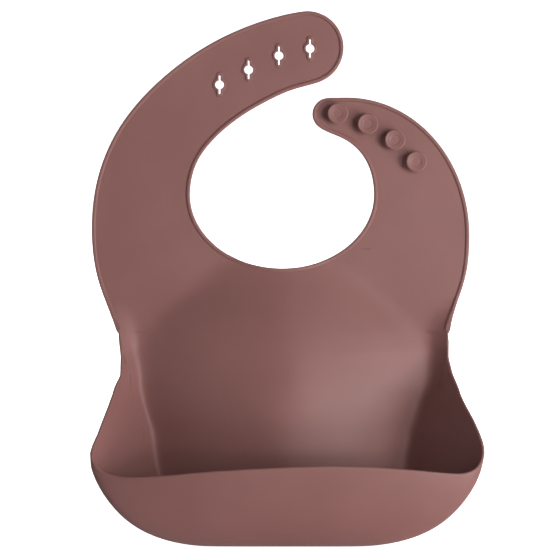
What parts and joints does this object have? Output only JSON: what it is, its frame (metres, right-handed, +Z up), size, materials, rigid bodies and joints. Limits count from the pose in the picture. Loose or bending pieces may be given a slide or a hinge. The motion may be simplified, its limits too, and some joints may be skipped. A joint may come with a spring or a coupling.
{
  "type": "silicone bib",
  "caption": "One-piece moulded silicone bib with an open catch pocket, a neck opening, a strap with keyholes and a shorter strap with snap studs.",
  "frame": {"origin": "centre of the neck opening, on the back face of the flat sheet", "axes": "+Z up as worn, towards the strap tips; +X to the right seen from the front; the front faces -Y and the back, which lies on the wearer, faces +Y"},
  "size_m": [0.2115, 0.061, 0.295],
  "materials": {
    "sheet": "matte dusty mauve-brown moulded silicone",
    "pocket": "matte dusty mauve-brown moulded silicone, satin inside the pocket",
    "keyholes": "matte silicone, raised surround",
    "studs": "satin silicone"
  },
  "bodies": {
    "chest": {"chest_panel": "sheet"},
    "slotted_arm": {"slotted_strap": "sheet"},
    "slotted_end": {"slotted_strap_end": "sheet", "keyhole_surround_1": "keyholes", "keyhole_surround_2": "keyholes", "keyhole_surround_3": "keyholes", "keyhole_surround_4": "keyholes"},
    "button_arm": {"button_strap": "sheet"},
    "button_end": {"button_strap_end": "sheet", "snap_stud_1": "studs", "snap_stud_2": "studs", "snap_stud_3": "studs", "snap_stud_4": "studs"},
    "apron": {"lower_panel": "sheet", "pocket_trough": "pocket", "left_side_wall": "pocket", "right_side_wall": "pocket"},
    "pocket_front": {"pocket_front_wall": "pocket", "left_pocket_corner": "pocket", "right_pocket_corner": "pocket"}
  },
  "joints": [
    {"name": "slotted_strap_flex", "type": "hinge", "parent": "chest", "child": "slotted_arm", "pos_m": [-0.077, 0, -0.014], "axis": [-1, 0, 0], "range_deg": [0, 45], "stiffness_Nm_per_rad": 0.08},
    {"name": "slotted_end_flex", "type": "hinge", "parent": "slotted_arm", "child": "slotted_end", "pos_m": [-0.057, 0, 0.042], "axis": [-1, 0, 0], "range_deg": [0, 45], "stiffness_Nm_per_rad": 0.04},
    {"name": "button_strap_flex", "type": "hinge", "parent": "chest", "child": "button_arm", "pos_m": [0.077, 0, -0.014], "axis": [-1, 0, 0], "range_deg": [0, 45], "stiffness_Nm_per_rad": 0.05},
    {"name": "button_end_flex", "type": "hinge", "parent": "button_arm", "child": "button_end", "pos_m": [0.076, 0, 0.006], "axis": [-1, 0, 0], "range_deg": [0, 45], "stiffness_Nm_per_rad": 0.03},
    {"name": "waist_flex", "type": "hinge", "parent": "chest", "child": "apron", "pos_m": [0, -0.0026, -0.06], "axis": [-1, 0, 0], "range_deg": [0, 35], "stiffness_Nm_per_rad": 0.05},
    {"name": "pocket_open", "type": "hinge", "parent": "apron", "child": "pocket_front", "pos_m": [0.001, -0.03, -0.192], "axis": [1, 0, 0], "range_deg": [0, 15], "stiffness_Nm_per_rad": 0.5, "springref_deg": -0.29}
  ],
  "couplings": [
    {"joint": "slotted_end_flex", "follows": "slotted_strap_flex", "ratio": 1},
    {"joint": "button_end_flex", "follows": "button_strap_flex", "ratio": 1}
  ]
}
